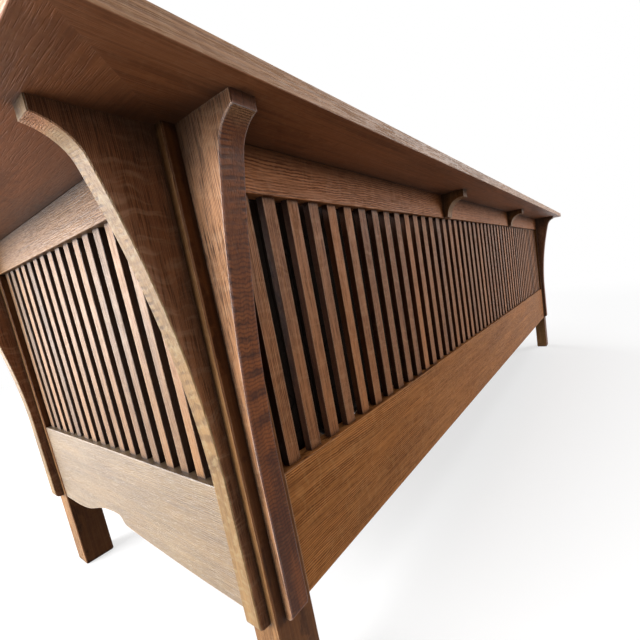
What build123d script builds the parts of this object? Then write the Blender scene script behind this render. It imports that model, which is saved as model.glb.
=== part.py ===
"""Mission settle: square posts, spindle back and ends, a flat shelf cap and long corbels.

Millimetres. +X runs along the back, the front faces -Y, the back faces +Y and +Z is up.
The origin is on the floor under the middle of the settle's outline.
Left and right are those of a person who stands in front of the settle and looks at it.
"""
from build123d import *
import math
import os

os.makedirs("parts", exist_ok=True)

# Overall sizes
overall_length = 2162.0
overall_depth = 981.0
overall_height = 737.0

# Cap: the flat shelf that runs round the back and both ends
cap_thickness = 18.0
cap_overhang = 111.0
cap_inner_overhang = 12.7
cap_easing = 1.2

# Posts
post_width = 50.8
post_easing = 1.5
post_foot_easing = 2.5
post_tenon_width = 25.4
post_tenon_height = 9.0

# Rails
rail_thickness = 25.4
rail_setback = 1.6
rail_easing = 0.8
bottom_rail_underside = 171.0
bottom_rail_height = 163.0
top_rail_height = 55.3
front_rail_height = 129.0

# Lower edge of the end rails, measured forward from the back post
arch_back_run_share = 0.51
arch_step_share = 0.049
arch_front_run_share = 0.235
arch_back_rise = 18.0
arch_back_sag = 3.0
arch_crown_rise = 34.5

# Mortise and tenon joints
tenon_thickness = 9.5
tenon_length = 21.0
tenon_shoulder = 9.0
tenon_end_gap = 1.0
joint_clearance = 0.15

# Spindles
spindle_width = 19.05
spindle_depth = 11.0
spindle_pitch = 38.1
spindle_least_end_gap = 12.0
end_spindle_pitch = 38.8
end_spindle_least_end_gap = 8.0
spindle_housing = 8.0
spindle_easing = 0.6

# Corbels under the cap, one on each outward face of every post
corbel_thickness = 25.4
corbel_height = 546.0
corbel_reach = 87.0
corbel_nose_height = 12.0
corbel_neck_reach = 58.0
corbel_neck_drop = 40.0
corbel_foot_reach = 12.5
corbel_taper_drop = 400.0
corbel_taper_sag = 13.0
corbel_foot_radius = 8.5
corbel_easing = 1.0
dowel_diameter = 8.0
dowel_depth = 19.0
dowel_drops = (75.0, 140.0)

# Small brackets under the back of the cap
bracket_reach = 56.0
bracket_nose_height = 17.0
bracket_foot_reach = 11.0
bracket_curve_sag = 14.0
back_bay_count = 3

# Mitre splines of the cap
spline_length = 100.0
spline_width = 40.0
spline_thickness = 6.0
spline_clearance = 0.2
spline_corner_share = 0.40

# Seat deck
deck_height = 300.0
cleat_width = 21.0
cleat_height = 25.0
slat_width = 70.0
slat_thickness = 19.0
slat_least_gap = 42.0
slat_end_clearance = 1.5
slat_easing = 1.5
beam_width = 44.0
beam_height = 50.0
beam_tenon_length = 12.0
cross_rail_width = 60.0
cross_rail_height = 40.0
corner_block_leg = 115.0
corner_block_height = 50.0
corner_block_drop = 6.0
piece_clearance = 0.3

# Screws through the cleats
screw_diameter = 4.2
screw_head_diameter = 8.4
screw_head_height = 3.2
screw_length = 38.0
screw_pitch = 190.0
screw_end_distance = 40.0
screw_clearance = 0.15

# Cushions
cushion_clearance = 1.2
end_cushion_thickness = 100.0
end_cushion_height = 392.0
back_cushion_thickness = 150.0
back_cushion_height = 395.0
seat_cushion_thickness = 140.0
seat_cushion_count = 3
cushion_front_setback = 6.0
cushion_crown = 16.0
cushion_side_swell = 9.0
cushion_end_drop = 12.0
cushion_end_inset = 9.0
cushion_station_shares = (0.4, 0.75, 1.0)

# One overrun for all cuts
cut_overrun = 5.0

# Places that follow from the sizes
cap_underside = overall_height - cap_thickness
cap_width = cap_overhang + post_width + cap_inner_overhang
frame_length = overall_length - 2 * cap_overhang
frame_depth = overall_depth - 2 * cap_overhang
post_x = frame_length / 2 - post_width / 2
post_y = frame_depth / 2 - post_width / 2
back_span = frame_length - 2 * post_width
end_span = frame_depth - 2 * post_width
rail_outer_y = frame_depth / 2 - rail_setback
rail_outer_x = frame_length / 2 - rail_setback
rail_inner_y = rail_outer_y - rail_thickness
rail_inner_x = rail_outer_x - rail_thickness
rail_middle_y = rail_outer_y - rail_thickness / 2
rail_middle_x = rail_outer_x - rail_thickness / 2
bottom_rail_top = bottom_rail_underside + bottom_rail_height
top_rail_underside = cap_underside - top_rail_height
slat_underside = deck_height - slat_thickness
cleat_underside = slat_underside - cleat_height
beam_underside = slat_underside - beam_height
cross_rail_underside = beam_underside - cross_rail_height
post_face_behind_rail = post_width - rail_setback - rail_thickness
back_bay = frame_length / back_bay_count

sides = {"left": -1, "right": 1}
ends = {"front": -1, "back": 1}


def save(piece, label):
    """Label a finished piece and write it to its own file."""
    piece.part.label = label
    export_step(piece.part, "parts/" + label + ".step")


def facing_back(y):
    """Plane at y whose sketch has x along +X and y along +Z; it extrudes towards -Y."""
    return Plane(origin=(0, y, 0), x_dir=(1, 0, 0), z_dir=(0, -1, 0))


def facing_end(x):
    """Plane at x whose sketch has x along +Y and y along +Z; it extrudes towards +X."""
    return Plane(origin=(x, 0, 0), x_dir=(0, 1, 0), z_dir=(1, 0, 0))


def outward_plane(origin, outward):
    """Upright plane whose sketch x points outward from a face and whose y points up."""
    out = Vector(outward)
    return Plane(origin=origin, x_dir=out, z_dir=out.cross(Vector(0, 0, 1)))


def block(low, high, mode=Mode.ADD):
    """Box between two opposite corners, inside the open part."""
    size = [abs(b - a) for a, b in zip(low, high)]
    middle = tuple((a + b) / 2 for a, b in zip(low, high))
    with Locations(middle):
        Box(size[0], size[1], size[2], mode=mode)


def even_places(span, width, pitch, least_gap):
    """Middles of as many equal pieces as fit in a span at a pitch, centred on zero."""
    count = int((span - 2 * least_gap - width) / pitch) + 1
    start = -(count - 1) * pitch / 2
    return [start + number * pitch for number in range(count)]


spindle_xs = even_places(back_span, spindle_width, spindle_pitch, spindle_least_end_gap)
spindle_ys = even_places(
    end_span, spindle_width, end_spindle_pitch, end_spindle_least_end_gap
)
screw_xs = even_places(back_span, screw_head_diameter, screw_pitch, screw_end_distance)
cleat_half_span = (end_span - beam_width) / 2
cleat_half_middle = (end_span + beam_width) / 4
cleat_half_ys = even_places(cleat_half_span, screw_head_diameter, screw_pitch, screw_end_distance)
screw_ys = [end * cleat_half_middle + y for end in ends.values() for y in cleat_half_ys]
screw_z = cleat_underside + cleat_height / 2
screw_hole_radius = screw_diameter / 2 + screw_clearance

# Height ranges of the rails that meet the posts
top_rail_range = (top_rail_underside, cap_underside)
bottom_rail_range = (bottom_rail_underside, bottom_rail_top)
front_rail_range = (deck_height - front_rail_height, deck_height)


def tenon_range(rail_range):
    """Lower and upper edge of a rail's tenon inside its shoulders."""
    return rail_range[0] + tenon_shoulder, rail_range[1] - tenon_shoulder


def mortise_for_long_rail(side, end, rail_range):
    """Mortise in a post for a rail that runs along X."""
    low, high = tenon_range(rail_range)
    inner_face = side * (frame_length / 2 - post_width)
    depth = side * (tenon_length + tenon_end_gap)
    half = tenon_thickness / 2 + joint_clearance
    block(
        (inner_face - side * cut_overrun, end * rail_middle_y - half, low - joint_clearance),
        (inner_face + depth, end * rail_middle_y + half, high + joint_clearance),
        Mode.SUBTRACT,
    )


def mortise_for_end_rail(side, end, rail_range):
    """Mortise in a post for a rail that runs along Y."""
    low, high = tenon_range(rail_range)
    inner_face = end * (frame_depth / 2 - post_width)
    depth = end * (tenon_length + tenon_end_gap)
    half = tenon_thickness / 2 + joint_clearance
    block(
        (side * rail_middle_x - half, inner_face - end * cut_overrun, low - joint_clearance),
        (side * rail_middle_x + half, inner_face + depth, high + joint_clearance),
        Mode.SUBTRACT,
    )


def dowel_holes(side, end, length, mode):
    """Dowels or their holes, across both outward faces of a post."""
    radius = dowel_diameter / 2 + (joint_clearance if mode == Mode.SUBTRACT else 0)
    for drop in dowel_drops:
        z = cap_underside - drop
        with Locations(Location((side * frame_length / 2, end * post_y, z), (0, 90, 0))):
            Cylinder(radius, 2 * length, mode=mode)
        with Locations(Location((side * post_x, end * frame_depth / 2, z), (90, 0, 0))):
            Cylinder(radius, 2 * length, mode=mode)


def make_post(side, end):
    """Corner post with its mortises, dowel holes and a stub tenon for the cap."""
    with BuildPart() as post:
        with BuildSketch(Plane.XY):
            with Locations((side * post_x, end * post_y)):
                Rectangle(post_width, post_width)
        extrude(amount=cap_underside)
        chamfer(post.edges().filter_by(Axis.Z), post_easing)
        chamfer(post.faces().sort_by(Axis.Z)[0].edges(), post_foot_easing)
        with BuildSketch(Plane.XY.offset(cap_underside)):
            with Locations((side * post_x, end * post_y)):
                Rectangle(post_tenon_width, post_tenon_width)
        extrude(amount=post_tenon_height)
        if end > 0:
            mortise_for_long_rail(side, end, top_rail_range)
            mortise_for_long_rail(side, end, bottom_rail_range)
        else:
            mortise_for_long_rail(side, end, front_rail_range)
        mortise_for_end_rail(side, end, top_rail_range)
        mortise_for_end_rail(side, end, bottom_rail_range)
        dowel_holes(side, end, dowel_depth + tenon_end_gap, Mode.SUBTRACT)
    return post


def add_long_tenons(middle_y, rail_range):
    """Tenons on both ends of a rail that runs along X."""
    low, high = tenon_range(rail_range)
    for side in sides.values():
        block(
            (side * (back_span / 2 - cut_overrun), middle_y - tenon_thickness / 2, low),
            (side * (back_span / 2 + tenon_length), middle_y + tenon_thickness / 2, high),
        )


def add_end_tenons(middle_x, rail_range):
    """Tenons on both ends of a rail that runs along Y."""
    low, high = tenon_range(rail_range)
    for end in ends.values():
        block(
            (middle_x - tenon_thickness / 2, end * (end_span / 2 - cut_overrun), low),
            (middle_x + tenon_thickness / 2, end * (end_span / 2 + tenon_length), high),
        )


def spindle_housings(places, along_x, fixed, edge, direction):
    """Housings for spindle ends, cut in the rail's edge at one height."""
    half_width = spindle_width / 2 + joint_clearance
    half_depth = spindle_depth / 2 + joint_clearance
    depth = spindle_housing + tenon_end_gap
    middle_z = edge + direction * (depth - cut_overrun) / 2
    sizes = (2 * half_width, 2 * half_depth) if along_x else (2 * half_depth, 2 * half_width)
    spots = [(place, fixed) if along_x else (fixed, place) for place in places]
    with Locations([(x, y, middle_z) for x, y in spots]):
        Box(sizes[0], sizes[1], depth + cut_overrun, mode=Mode.SUBTRACT)


def pilot_holes_long(end):
    """Screw holes in a rail that runs along X."""
    face = end * rail_inner_y
    depth = screw_length - cleat_width + tenon_end_gap
    for x in screw_xs:
        with Locations(Location((x, face + end * depth / 2, screw_z), (90, 0, 0))):
            Cylinder(screw_hole_radius, depth, mode=Mode.SUBTRACT)


def pilot_holes_end(side):
    """Screw holes in a rail that runs along Y."""
    face = side * rail_inner_x
    depth = screw_length - cleat_width + tenon_end_gap
    for y in screw_ys:
        with Locations(Location((face + side * depth / 2, y, screw_z), (0, 90, 0))):
            Cylinder(screw_hole_radius, depth, mode=Mode.SUBTRACT)


def cross_rail_mortises(end):
    """Mortises for the two cross rails in a rail that runs along X."""
    face = end * rail_inner_y
    half_width = cross_rail_width / 2 - tenon_shoulder + joint_clearance
    for side in sides.values():
        middle_x = side * back_bay / 2
        block(
            (middle_x - half_width, face - end * cut_overrun,
             cross_rail_underside + tenon_shoulder - joint_clearance),
            (middle_x + half_width, face + end * (beam_tenon_length + tenon_end_gap),
             beam_underside - tenon_shoulder + joint_clearance),
            Mode.SUBTRACT,
        )


def beam_mortise(side):
    """Mortise for the middle beam in an end rail."""
    face = side * rail_inner_x
    half_width = beam_width / 2 - tenon_shoulder + joint_clearance
    block(
        (face - side * cut_overrun, -half_width, beam_underside + tenon_shoulder - joint_clearance),
        (face + side * (beam_tenon_length + tenon_end_gap), half_width,
         slat_underside - tenon_shoulder + joint_clearance),
        Mode.SUBTRACT,
    )


def long_rail_blank(end, rail_range):
    """Straight rail along X between two posts, with its long edges eased."""
    low, high = rail_range
    outer = end * rail_outer_y if end > 0 else end * rail_inner_y
    with BuildPart() as rail:
        with BuildSketch(facing_back(outer)):
            with Locations((0, (low + high) / 2)):
                Rectangle(back_span, high - low)
        extrude(amount=rail_thickness)
        chamfer(rail.edges().filter_by(Axis.X), rail_easing)
        add_long_tenons(end * rail_middle_y, rail_range)
    return rail


def make_back_top_rail():
    """Rail under the back of the cap, housed for the spindle tops."""
    rail = long_rail_blank(1, top_rail_range)
    with rail:
        spindle_housings(spindle_xs, True, rail_middle_y, top_rail_underside, 1)
    return rail


def make_back_bottom_rail():
    """Deep rail at the foot of the back."""
    rail = long_rail_blank(1, bottom_rail_range)
    with rail:
        spindle_housings(spindle_xs, True, rail_middle_y, bottom_rail_top, -1)
        pilot_holes_long(1)
        cross_rail_mortises(1)
    return rail


def make_front_rail():
    """Rail across the front, level with the seat deck."""
    rail = long_rail_blank(-1, front_rail_range)
    with rail:
        pilot_holes_long(-1)
        cross_rail_mortises(-1)
    return rail


def make_end_top_rail(side):
    """Rail under an arm of the cap."""
    low, high = top_rail_range
    with BuildPart() as rail:
        with BuildSketch(facing_end(min(side * rail_outer_x, side * rail_inner_x))):
            with Locations((0, (low + high) / 2)):
                Rectangle(end_span, high - low)
        extrude(amount=rail_thickness)
        chamfer(rail.edges().filter_by(Axis.Y), rail_easing)
        add_end_tenons(side * rail_middle_x, top_rail_range)
        spindle_housings(spindle_ys, False, side * rail_middle_x, top_rail_underside, 1)
    return rail


def make_end_bottom_rail(side):
    """Deep end rail whose lower edge steps up to a low arch."""
    back_y = end_span / 2
    front_y = -end_span / 2
    step_start_y = back_y - arch_back_run_share * end_span
    step_end_y = step_start_y - arch_step_share * end_span
    front_flat_y = front_y + arch_front_run_share * (step_end_y - front_y)
    foot = bottom_rail_underside
    step_foot = foot + arch_back_rise
    crown = foot + arch_crown_rise
    middle_of_step = ((step_start_y + step_end_y) / 2, (step_foot + crown) / 2)
    fall_middle = ((step_end_y + front_flat_y) / 2, (crown + foot) / 2)
    with BuildPart() as rail:
        with BuildSketch(facing_end(min(side * rail_outer_x, side * rail_inner_x))):
            with BuildLine():
                Line((back_y, foot), (back_y, bottom_rail_top))
                Line((back_y, bottom_rail_top), (front_y, bottom_rail_top))
                Line((front_y, bottom_rail_top), (front_y, foot))
                Line((front_y, foot), (front_flat_y, foot))
                TangentArc((front_flat_y, foot), fall_middle, tangent=(1, 0))
                TangentArc((step_end_y, crown), fall_middle, tangent=(-1, 0))
                TangentArc((step_end_y, crown), middle_of_step, tangent=(1, 0))
                TangentArc((step_start_y, step_foot), middle_of_step, tangent=(-1, 0))
                SagittaArc((step_start_y, step_foot), (back_y, foot), -arch_back_sag)
            make_face()
        extrude(amount=rail_thickness)
        top_edges = rail.edges().filter_by(Axis.Y).group_by(Axis.Z)[-1]
        chamfer(top_edges, rail_easing)
        add_end_tenons(side * rail_middle_x, bottom_rail_range)
        spindle_housings(spindle_ys, False, side * rail_middle_x, bottom_rail_top, -1)
        pilot_holes_end(side)
        beam_mortise(side)
    return rail


def make_spindles(places, along_x, fixed):
    """A row of separate spindles, housed at both ends in the rails."""
    length = top_rail_underside - bottom_rail_top + 2 * spindle_housing
    middle_z = (top_rail_underside + bottom_rail_top) / 2
    sizes = (spindle_width, spindle_depth) if along_x else (spindle_depth, spindle_width)
    spots = [(place, fixed, middle_z) if along_x else (fixed, place, middle_z) for place in places]
    with BuildPart() as spindles:
        with Locations(spots):
            Box(sizes[0], sizes[1], length)
        chamfer(spindles.edges().filter_by(Axis.Z), spindle_easing)
    return spindles


def post_tenon_pockets():
    """Pockets in the cap's underside over the posts' stub tenons."""
    width = post_tenon_width + 2 * joint_clearance
    depth = post_tenon_height + tenon_end_gap
    middle_z = cap_underside + (depth - cut_overrun) / 2
    with Locations([(sx * post_x, sy * post_y, middle_z)
                    for sx in sides.values() for sy in ends.values()]):
        Box(width, width, depth + cut_overrun, mode=Mode.SUBTRACT)


def spline_place(side):
    """Middle and turn of the spline across a mitre of the cap."""
    reach = cap_width * spline_corner_share
    return (
        side * (overall_length / 2 - reach),
        overall_depth / 2 - reach,
        cap_underside + cap_thickness / 2,
    ), side * 45


def spline_box(side, extra, mode):
    """Spline, or its slot when extra is a clearance."""
    middle, turn = spline_place(side)
    with Locations(Location(middle, (0, 0, turn))):
        Box(spline_length + extra, spline_width + extra, spline_thickness + extra, mode=mode)


def cap_board(outline, eased):
    """One board of the cap from its plan outline; eased picks the edges to round."""
    with BuildPart() as board:
        with BuildSketch(Plane.XY.offset(cap_underside)):
            with BuildLine():
                Polyline(*outline, close=True)
            make_face()
        extrude(amount=cap_thickness)
        fillet(eased(board.edges()), cap_easing)
        post_tenon_pockets()
        for side in sides.values():
            spline_box(side, 2 * spline_clearance, Mode.SUBTRACT)
    return board


def make_back_cap():
    """Back board of the cap, mitred at both ends."""
    x = overall_length / 2
    y = overall_depth / 2
    outline = [(-x, y), (x, y), (x - cap_width, y - cap_width), (-x + cap_width, y - cap_width)]
    return cap_board(outline, lambda edges: edges.filter_by(Axis.X))


def make_arm_cap(side):
    """Arm board of the cap, mitred to the back board and square at the front."""
    outer_x = side * overall_length / 2
    inner_x = side * (overall_length / 2 - cap_width)
    y = overall_depth / 2
    outline = [(outer_x, y), (outer_x, -y), (inner_x, -y), (inner_x, y - cap_width)]

    def eased(edges):
        along = edges.filter_by(Axis.Y)
        front = edges.filter_by(Axis.X)
        corners = edges.filter_by(Axis.Z).group_by(Axis.Y)[0]
        return along + front + corners

    return cap_board(outline, eased)


def corbel_outline():
    """Closed outline of a corbel: x is the reach from the post, y is the height from the cap."""
    nose = (corbel_reach, -corbel_nose_height)
    neck = (corbel_neck_reach, -corbel_neck_drop)
    taper = (corbel_foot_reach, -corbel_taper_drop)
    Line((0, 0), (corbel_reach, 0))
    Line((corbel_reach, 0), nose)
    long_curve = SagittaArc(neck, taper, -corbel_taper_sag)
    TangentArc(neck, nose, tangent=-(long_curve % 0))
    Line(taper, (corbel_foot_reach, -corbel_height))
    Line((corbel_foot_reach, -corbel_height), (0, -corbel_height))
    Line((0, -corbel_height), (0, 0))


def make_corbel(origin, outward):
    """Long corbel that stands on a post's face and carries the cap."""
    plane = outward_plane(origin, outward)
    with BuildPart() as corbel:
        with BuildSketch(plane) as profile:
            with BuildLine():
                corbel_outline()
            make_face()
            foot_corner = profile.vertices().sort_by(Axis.Y)[:2].sort_by(Axis.X)[-1]
            fillet(foot_corner, corbel_foot_radius)
        extrude(amount=corbel_thickness / 2, both=True)

        def on_outer_arris(edge):
            spot = plane.to_local_coords(edge.center())
            return (
                abs(spot.Z) > corbel_thickness / 4
                and spot.X > corbel_foot_reach / 2
                and -corbel_height + corbel_easing < spot.Y < -corbel_easing
            )

        chamfer(corbel.edges().filter_by(on_outer_arris), corbel_easing)
        for drop in dowel_drops:
            hole_start = Vector(origin) - Vector(0, 0, drop)
            with BuildSketch(Plane(origin=hole_start, z_dir=outward)):
                Circle(dowel_diameter / 2 + joint_clearance)
            extrude(amount=dowel_depth + tenon_end_gap, mode=Mode.SUBTRACT)
    return corbel


def make_corbel_dowels(side, end):
    """Dowels between one post and its two corbels."""
    with BuildPart() as dowels:
        dowel_holes(side, end, dowel_depth, Mode.ADD)
    return dowels


def make_bracket(x):
    """Small bracket on the back top rail under the cap, with a hollow curve and a short nose."""
    origin = (x, rail_outer_y, cap_underside)
    plane = outward_plane(origin, (0, 1, 0))
    foot = (bracket_foot_reach, -top_rail_height)
    nose = (bracket_reach, -bracket_nose_height)
    with BuildPart() as bracket:
        with BuildSketch(plane):
            with BuildLine():
                Line((0, 0), (bracket_reach, 0))
                Line((bracket_reach, 0), nose)
                SagittaArc(nose, foot, -bracket_curve_sag)
                Line(foot, (0, -top_rail_height))
                Line((0, -top_rail_height), (0, 0))
            make_face()
        extrude(amount=corbel_thickness / 2, both=True)
    return bracket


def make_mitre_spline(side):
    """Loose spline that keeps a mitre of the cap level."""
    with BuildPart() as spline:
        spline_box(side, 0, Mode.ADD)
    return spline


def make_long_cleat(end):
    """Cleat on the inside of a long rail; the slats rest on it."""
    half = back_span / 2 - piece_clearance
    inner = end * (rail_inner_y - cleat_width)
    with BuildPart() as cleat:
        block((-half, inner, cleat_underside), (half, end * rail_inner_y, slat_underside))
        for x in screw_xs:
            with Locations(Location((x, end * (rail_inner_y - cleat_width / 2), screw_z), (90, 0, 0))):
                Cylinder(screw_hole_radius, cleat_width + cut_overrun, mode=Mode.SUBTRACT)
            screw_sink((x, inner, screw_z), (0, end, 0))
    return cleat


def make_end_cleat(side):
    """Cleat on the inside of an end rail, in two lengths with the middle beam between them."""
    half = end_span / 2 - piece_clearance
    inner = side * (rail_inner_x - cleat_width)
    with BuildPart() as cleat:
        block((inner, -half, cleat_underside), (side * rail_inner_x, half, slat_underside))
        block(
            (inner - side * cut_overrun, -beam_width / 2 - piece_clearance, cleat_underside - cut_overrun),
            (side * (rail_inner_x + cut_overrun), beam_width / 2 + piece_clearance,
             slat_underside + cut_overrun),
            Mode.SUBTRACT,
        )
        for y in screw_ys:
            with Locations(Location((side * (rail_inner_x - cleat_width / 2), y, screw_z), (0, 90, 0))):
                Cylinder(screw_hole_radius, cleat_width + cut_overrun, mode=Mode.SUBTRACT)
            screw_sink((inner, y, screw_z), (side, 0, 0))
    return cleat


def screw_sink(face_point, inward):
    """Countersink for a screw head in a cleat's face."""
    with Locations(Plane(origin=face_point, z_dir=inward)):
        Cone(
            screw_head_diameter / 2 + screw_clearance,
            screw_hole_radius,
            screw_head_height,
            align=(Align.CENTER, Align.CENTER, Align.MIN),
            mode=Mode.SUBTRACT,
        )


def add_screw(face_point, inward):
    """Countersunk screw whose head is flush with a cleat's face."""
    standing = (Align.CENTER, Align.CENTER, Align.MIN)
    with Locations(Plane(origin=face_point, z_dir=inward)):
        Cone(screw_head_diameter / 2, screw_diameter / 2, screw_head_height, align=standing)
        Cylinder(screw_diameter / 2, screw_length, align=standing)


def make_long_cleat_screws(end):
    """Screws of a long cleat."""
    with BuildPart() as screws:
        for x in screw_xs:
            add_screw((x, end * (rail_inner_y - cleat_width), screw_z), (0, end, 0))
    return screws


def make_end_cleat_screws(side):
    """Screws of an end cleat."""
    with BuildPart() as screws:
        for y in screw_ys:
            add_screw((side * (rail_inner_x - cleat_width), y, screw_z), (side, 0, 0))
    return screws


def make_middle_beam():
    """Beam along the middle of the seat deck, tenoned into both end rails."""
    half_tenon = beam_width / 2 - tenon_shoulder
    with BuildPart() as beam:
        block(
            (-rail_inner_x, -beam_width / 2, beam_underside),
            (rail_inner_x, beam_width / 2, slat_underside),
        )
        for side in sides.values():
            block(
                (side * (rail_inner_x - cut_overrun), -half_tenon, beam_underside + tenon_shoulder),
                (side * (rail_inner_x + beam_tenon_length), half_tenon, slat_underside - tenon_shoulder),
            )
    return beam


def make_cross_rail(side):
    """Cross rail between the front and back rails that carries the middle beam."""
    middle_x = side * back_bay / 2
    half = cross_rail_width / 2
    with BuildPart() as rail:
        block(
            (middle_x - half, -rail_inner_y, cross_rail_underside),
            (middle_x + half, rail_inner_y, beam_underside),
        )
        for end in ends.values():
            block(
                (middle_x - half + tenon_shoulder, end * (rail_inner_y - cut_overrun),
                 cross_rail_underside + tenon_shoulder),
                (middle_x + half - tenon_shoulder, end * (rail_inner_y + beam_tenon_length),
                 beam_underside - tenon_shoulder),
            )
    return rail


def make_seat_slats():
    """Loose slats from the front cleat to the back cleat, over the middle beam."""
    span = back_span - 2 * piece_clearance
    places = even_places(span, slat_width, slat_width + slat_least_gap, piece_clearance)
    length = 2 * (rail_inner_y - slat_end_clearance)
    with BuildPart() as slats:
        with Locations([(x, 0, slat_underside + slat_thickness / 2) for x in places]):
            Box(slat_width, length, slat_thickness)
        top_edges = slats.edges().filter_by(Axis.Y).group_by(Axis.Z)[-1]
        chamfer(top_edges, slat_easing)
    return slats


def make_corner_block(side, end):
    """Glued block in a corner of the seat frame, notched round the post."""
    notch = post_face_behind_rail + piece_clearance
    points = [(notch, 0), (corner_block_leg, 0), (0, corner_block_leg), (0, notch), (notch, notch)]
    outline = [(side * (rail_inner_x - a), end * (rail_inner_y - b)) for a, b in points]
    top = cleat_underside - corner_block_drop
    with BuildPart() as corner:
        with BuildSketch(Plane.XY.offset(top - corner_block_height)):
            with BuildLine():
                Polyline(*outline, close=True)
            make_face()
        extrude(amount=corner_block_height)
    return corner


def cushion_outline(half_depth, thickness):
    """Closed section of a cushion: flat base, swelling sides and a crowned face."""
    half_base = half_depth - cushion_side_swell
    shoulder = thickness - cushion_crown
    Line((-half_base, 0), (half_base, 0))
    ThreePointArc((half_base, 0), (half_depth, shoulder / 2), (half_base, shoulder))
    ThreePointArc((half_base, shoulder), (0, thickness), (-half_base, shoulder))
    ThreePointArc((-half_base, shoulder), (-half_depth, shoulder / 2), (-half_base, 0))


def make_cushion(base, length, depth, thickness):
    """Cushion on a base plane: length along its x, depth along its y, crown along its z.

    The crown and the sides are drawn in towards both ends, as in a filled box cushion.
    """
    outward_shares = (0,) + cushion_station_shares
    stations = [-share for share in reversed(cushion_station_shares)] + list(outward_shares)
    with BuildPart() as cushion:
        for station in stations:
            drawn_in = station ** 4
            middle = base.origin + base.x_dir * (station * length / 2)
            with BuildSketch(Plane(origin=middle, x_dir=base.y_dir, z_dir=base.x_dir)):
                with BuildLine():
                    cushion_outline(
                        depth / 2 - drawn_in * cushion_end_inset,
                        thickness - drawn_in * cushion_end_drop,
                    )
                make_face()
        loft()
    return cushion


# Places of the cushions
cushion_outer_x = frame_length / 2 - post_width - cap_inner_overhang - cushion_clearance
cushion_back_y = frame_depth / 2 - post_width - cap_inner_overhang - cushion_clearance
cushion_front_y = -(frame_depth / 2 - cushion_front_setback)
inner_cushion_half = cushion_outer_x - end_cushion_thickness - cushion_clearance
seat_cushion_pitch = 2 * inner_cushion_half / seat_cushion_count
seat_cushion_length = seat_cushion_pitch - cushion_clearance
seat_back_y = cushion_back_y - back_cushion_thickness - cushion_clearance
seat_cushion_depth = seat_back_y - cushion_front_y
cushion_base = deck_height + piece_clearance


def make_seat_cushion(middle_x):
    """Box seat cushion."""
    base = Plane(
        origin=(middle_x, (seat_back_y + cushion_front_y) / 2, cushion_base),
        x_dir=(1, 0, 0),
        z_dir=(0, 0, 1),
    )
    return make_cushion(base, seat_cushion_length, seat_cushion_depth, seat_cushion_thickness)


def make_back_cushion(middle_x):
    """Back cushion that stands on the deck behind the seat cushion."""
    base = Plane(
        origin=(middle_x, cushion_back_y, cushion_base + back_cushion_height / 2),
        x_dir=(1, 0, 0),
        z_dir=(0, -1, 0),
    )
    return make_cushion(base, seat_cushion_length, back_cushion_height, back_cushion_thickness)


def make_end_cushion(side):
    """Bolster that stands on the deck against the inside of an arm."""
    length = cushion_back_y - cushion_front_y
    base = Plane(
        origin=(side * cushion_outer_x, (cushion_back_y + cushion_front_y) / 2,
                cushion_base + end_cushion_height / 2),
        x_dir=(0, -side, 0),
        z_dir=(-side, 0, 0),
    )
    return make_cushion(base, length, end_cushion_height, end_cushion_thickness)


# Posts, corbels and their dowels
for end_name, end in ends.items():
    for side_name, side in sides.items():
        corner = end_name + "_" + side_name
        save(make_post(side, end), "post_" + corner)
        save(make_corbel_dowels(side, end), "corbel_dowels_" + corner)
        save(make_corner_block(side, end), "corner_block_" + corner)
        end_face = (side * frame_length / 2, end * post_y, cap_underside)
        long_face = (side * post_x, end * frame_depth / 2, cap_underside)
        save(make_corbel(end_face, (side, 0, 0)), "corbel_" + corner + "_on_end")
        save(make_corbel(long_face, (0, end, 0)), "corbel_" + corner + "_on_" + end_name)

# Back and front
save(make_back_top_rail(), "back_top_rail")
save(make_back_bottom_rail(), "back_bottom_rail")
save(make_spindles(spindle_xs, True, rail_middle_y), "back_spindles")
save(make_front_rail(), "front_seat_rail")
save(make_back_cap(), "cap_back")

# Ends, brackets and what the left and right sides share
for side_name, side in sides.items():
    save(make_end_top_rail(side), "end_top_rail_" + side_name)
    save(make_end_bottom_rail(side), "end_bottom_rail_" + side_name)
    save(make_spindles(spindle_ys, False, side * rail_middle_x), "end_spindles_" + side_name)
    save(make_arm_cap(side), "cap_arm_" + side_name)
    save(make_mitre_spline(side), "mitre_spline_" + side_name)
    save(make_bracket(side * back_bay / 2), "back_bracket_" + side_name)
    save(make_end_cleat(side), "seat_cleat_" + side_name)
    save(make_end_cleat_screws(side), "cleat_screws_" + side_name)
    save(make_cross_rail(side), "seat_cross_rail_" + side_name)
    save(make_end_cushion(side), "end_cushion_" + side_name)

# Seat deck
for end_name, end in ends.items():
    save(make_long_cleat(end), "seat_cleat_" + end_name)
    save(make_long_cleat_screws(end), "cleat_screws_" + end_name)
save(make_middle_beam(), "seat_middle_beam")
save(make_seat_slats(), "seat_slats")

# Seat and back cushions
cushion_names = ["left", "middle", "right"]
for number in range(seat_cushion_count):
    middle_x = (number - (seat_cushion_count - 1) / 2) * seat_cushion_pitch
    name = cushion_names[number] if seat_cushion_count == len(cushion_names) else str(number + 1)
    save(make_seat_cushion(middle_x), "seat_cushion_" + name)
    save(make_back_cushion(middle_x), "back_cushion_" + name)
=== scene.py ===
"""Looks of a mission settle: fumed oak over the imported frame, padded leather cushions and a pale stage."""

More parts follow.
